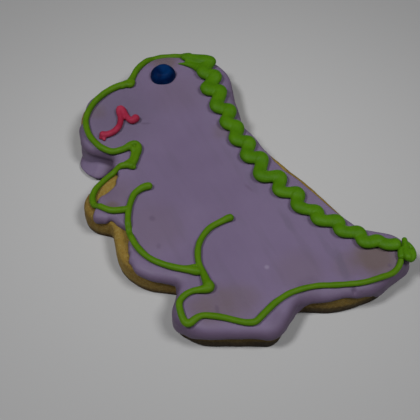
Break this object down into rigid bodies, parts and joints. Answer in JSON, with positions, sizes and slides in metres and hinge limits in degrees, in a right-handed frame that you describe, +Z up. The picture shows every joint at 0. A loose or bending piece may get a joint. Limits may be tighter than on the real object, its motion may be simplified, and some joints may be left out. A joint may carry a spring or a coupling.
{
  "type": "iced sugar cookie",
  "caption": "Flat cut-out sugar cookie in the shape of a sitting dinosaur, with flooded icing that runs down its sides and thick piped lines on top.",
  "frame": {"origin": "middle of the cookie's box, on the flat underside that it lies on", "axes": "+Z is up through the icing, +Y points to the top of the head, +X points to the tip of the tail"},
  "size_m": [0.0967, 0.1066, 0.0131],
  "materials": {
    "dough": "matte baked crumb",
    "lilac_icing": "satin set sugar icing",
    "green_icing": "satin piped icing",
    "blue_icing": "satin piped icing",
    "pink_icing": "satin piped icing"
  },
  "bodies": {
    "root": {"biscuit": "dough", "icing": "lilac_icing", "head_line": "green_icing", "arm_line": "green_icing", "belly_line": "green_icing", "leg_line": "green_icing", "foot_line": "green_icing", "back_ridge": "green_icing", "tail_blob": "green_icing", "eye": "blue_icing", "mouth_line": "pink_icing"}
  },
  "joints": []
}
